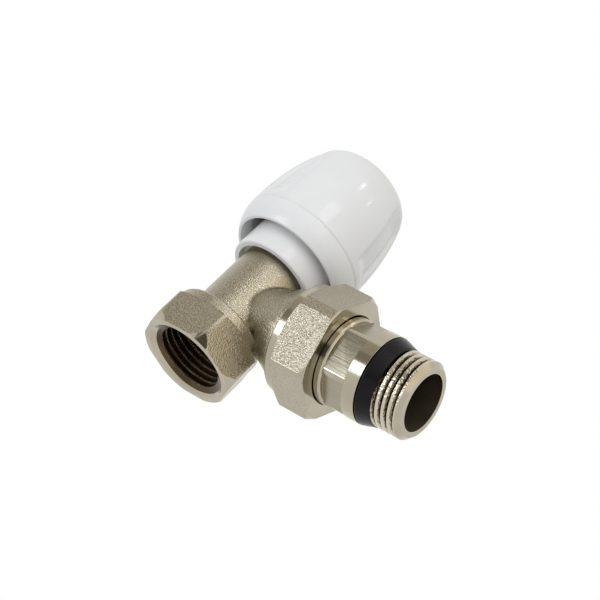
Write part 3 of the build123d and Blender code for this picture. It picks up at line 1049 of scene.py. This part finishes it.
def soft_lamp(name, toward, size, power):
    data = bpy.data.lights.new(name, "AREA")
    data.shape = "SQUARE"
    data.size = size
    data.energy = power
    lamp = bpy.data.objects.new(name, data)
    direction = Vector(toward).normalized()
    lamp.location = middle + direction * lamp_distance
    lamp.rotation_mode = "QUATERNION"
    lamp.rotation_quaternion = direction.to_track_quat("Z", "Y")
    lamp.visible_camera = False
    bpy.context.scene.collection.objects.link(lamp)
    return lamp


key = soft_lamp("key", (-0.48, -0.72, -0.50), size=0.22, power=0.76)
key.data.color = (0.82, 0.87, 1.0)
soft_lamp("first_spot", (0.233, -0.482, 0.845), size=0.03, power=0.08)
soft_lamp("second_spot", (0.518, -0.273, 0.782), size=0.03, power=0.03)
fill = soft_lamp("fill", (0.35, -0.9, 0.1), size=0.4, power=1.25)
fill.visible_glossy = False
print("four soft lamps stand round the valve")

# %% [markdown]
# ## Cards
# Metal looks like what it mirrors. In an all white room nickel is flat and pale, so a photographer
# puts up cards, and the metal shows their grey between bright edges. Each card stands where one face
# of the valve, seen from the camera, sends its reflection. One is brighter than white, for the gleam
# on the neck. Only mirror rays see the cards: they cast no shadow and give no light. The warmth takes
# a little blue out of the grey.

# %% Grey cards
def grey_paper(shade, warmth):
    warm_grey = (shade, (1 - 0.35 * warmth) * shade, (1 - warmth) * shade, 1.0)
    material = bpy.data.materials.new("grey_paper")
    material.use_nodes = True
    material.cycles.emission_sampling = "NONE"
    tree = material.node_tree
    tree.nodes.remove(tree.nodes["Principled BSDF"])
    glow = add_node(tree, "ShaderNodeEmission")
    glow.inputs["Color"].default_value = warm_grey
    surface = tree.nodes["Material Output"].inputs["Surface"]
    tree.links.new(glow.outputs["Emission"], surface)
    return material


def grey_card(name, toward, distance, width, height, shade, warmth=0.2):
    direction = Vector(toward).normalized()
    facing = direction.to_track_quat("Z", "Y").to_matrix()
    mesh = bmesh.new()
    bmesh.ops.create_grid(mesh, x_segments=1, y_segments=1, size=0.5)
    bmesh.ops.scale(mesh, vec=(width, height, 1), verts=mesh.verts)
    bmesh.ops.rotate(mesh, cent=(0, 0, 0), matrix=facing, verts=mesh.verts)
    bmesh.ops.translate(mesh, vec=middle + direction * distance, verts=mesh.verts)
    data = bpy.data.meshes.new(name)
    mesh.to_mesh(data)
    mesh.free()
    data.materials.append(grey_paper(shade, warmth))
    card = bpy.data.objects.new(name, data)
    card.visible_camera = False
    card.visible_diffuse = False
    card.visible_shadow = False
    bpy.context.scene.collection.objects.link(card)
    return card


grey_card("front_card", (-0.62, -0.76, 0.18), 0.7, 0.81, 0.68, shade=0.55)
grey_card("side_card", (0.895, -0.142, 0.423), 0.7, 0.84, 0.98, shade=1.3, warmth=0.22)
grey_card("dark_strip", (-0.46, -0.88, -0.1), 0.6, 0.5, 0.24, shade=0.34)
grey_card("camera_card", (0.496, -0.725, -0.478), 0.7, 0.5, 0.36, shade=0.12)
grey_card("white_card", (0.32, -0.81, 0.49), 0.7, 0.22, 0.22, shade=4.2, warmth=0.05)
print("five cards give the metal something to mirror")

# %% [markdown]
# ## The floor
# A plain pale floor takes the valve's shadow in the views from above. It belongs to the frame that the
# valve is used in, so the photograph's camera looks up through it: from below, where its back faces
# are seen, it is clear.

# %% Floor
def pale_floor():
    material, tree, shader = start_finish("pale_floor", (0.86, 0.86, 0.85), 0.0, 0.7)
    facing = add_node(tree, "ShaderNodeNewGeometry")
    clear = add_node(tree, "ShaderNodeBsdfTransparent")
    either = add_node(tree, "ShaderNodeMixShader")
    output = tree.nodes["Material Output"]
    tree.links.new(facing.outputs["Backfacing"], either.inputs["Fac"])
    tree.links.new(shader.outputs["BSDF"], either.inputs[1])
    tree.links.new(clear.outputs["BSDF"], either.inputs[2])
    tree.links.new(either.outputs["Shader"], output.inputs["Surface"])
    return material


below_valve = 0.02 * mm
floor_mesh = bmesh.new()
bmesh.ops.create_grid(floor_mesh, x_segments=1, y_segments=1, size=3.0)
floor_data = bpy.data.meshes.new("floor")
floor_mesh.to_mesh(floor_data)
floor_mesh.free()
floor_data.materials.append(pale_floor())
floor = bpy.data.objects.new("floor", floor_data)
floor.location = (middle.x, middle.y, cad_low.z - below_valve)
floor.visible_glossy = False
floor.visible_diffuse = False
floor.visible_transmission = False
floor.visible_shadow = False
bpy.context.scene.collection.objects.link(floor)
print("the floor lies at", round(floor.location.z / mm, 2), "mm")

# %% [markdown]
# ## The view transform
# The render uses the Standard view transform.

# %% Finish
bpy.context.scene.view_settings.view_transform = "Standard"
